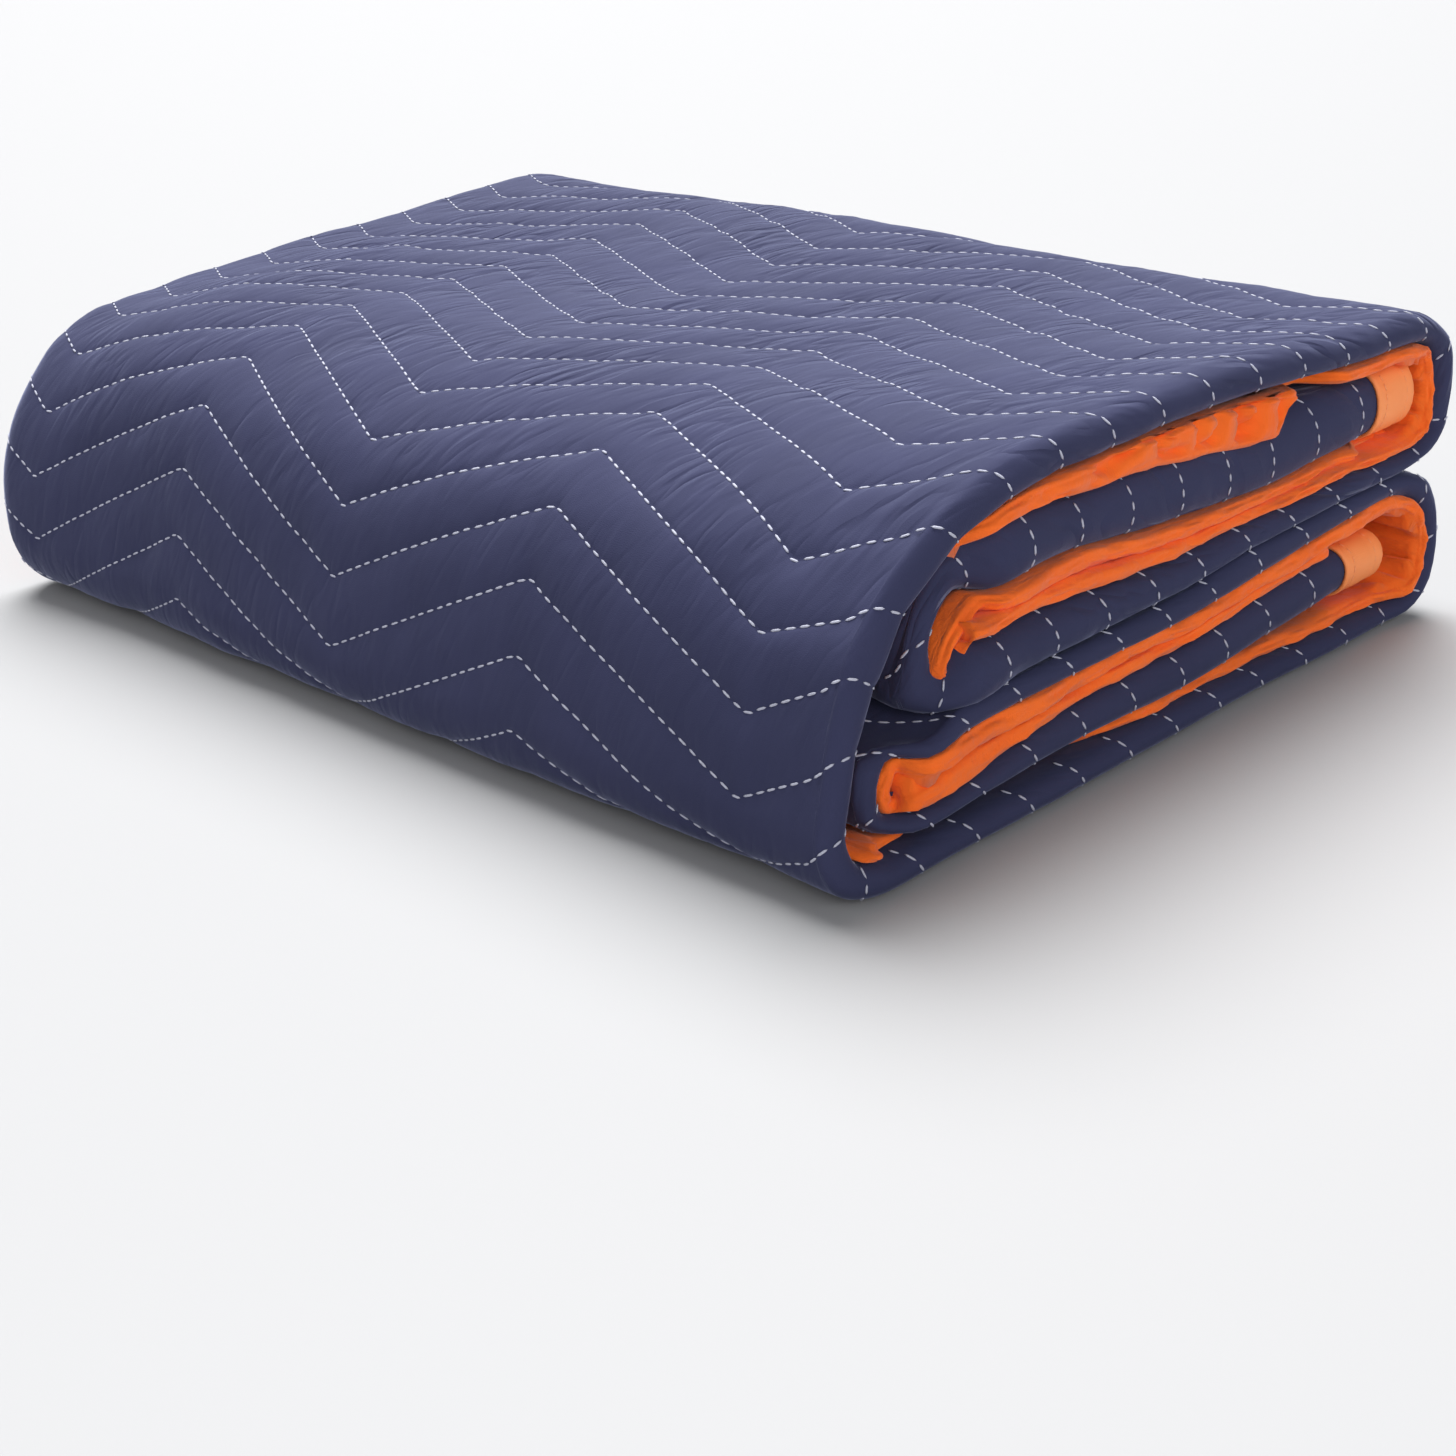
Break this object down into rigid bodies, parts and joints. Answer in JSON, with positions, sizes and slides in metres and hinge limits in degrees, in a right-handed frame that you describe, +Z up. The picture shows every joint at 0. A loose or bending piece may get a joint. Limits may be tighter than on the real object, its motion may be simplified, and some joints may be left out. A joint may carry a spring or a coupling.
{
  "type": "folded quilted moving blanket",
  "caption": "Quilted moving pad, navy face with zigzag stitching and orange back, folded in thirds and rolled flat from both ends",
  "frame": {"origin": "middle of the folded pack's footprint, on the surface it rests on", "axes": "+X along the fold edges, the pack's longest side; -Y is the round front; +Z up through the layers"},
  "size_m": [0.4582, 0.3118, 0.1204],
  "materials": {
    "navy_fabric": "matt crinkled woven polyester, quilted with pale thread",
    "orange_fabric": "matt woven polyester backing",
    "orange_tape": "smooth slightly shiny binding tape"
  },
  "bodies": {
    "root": {"quilted_face": "navy_fabric", "backing": "orange_fabric", "end_binding_upper": "orange_tape", "end_binding_lower": "orange_tape"}
  },
  "joints": []
}
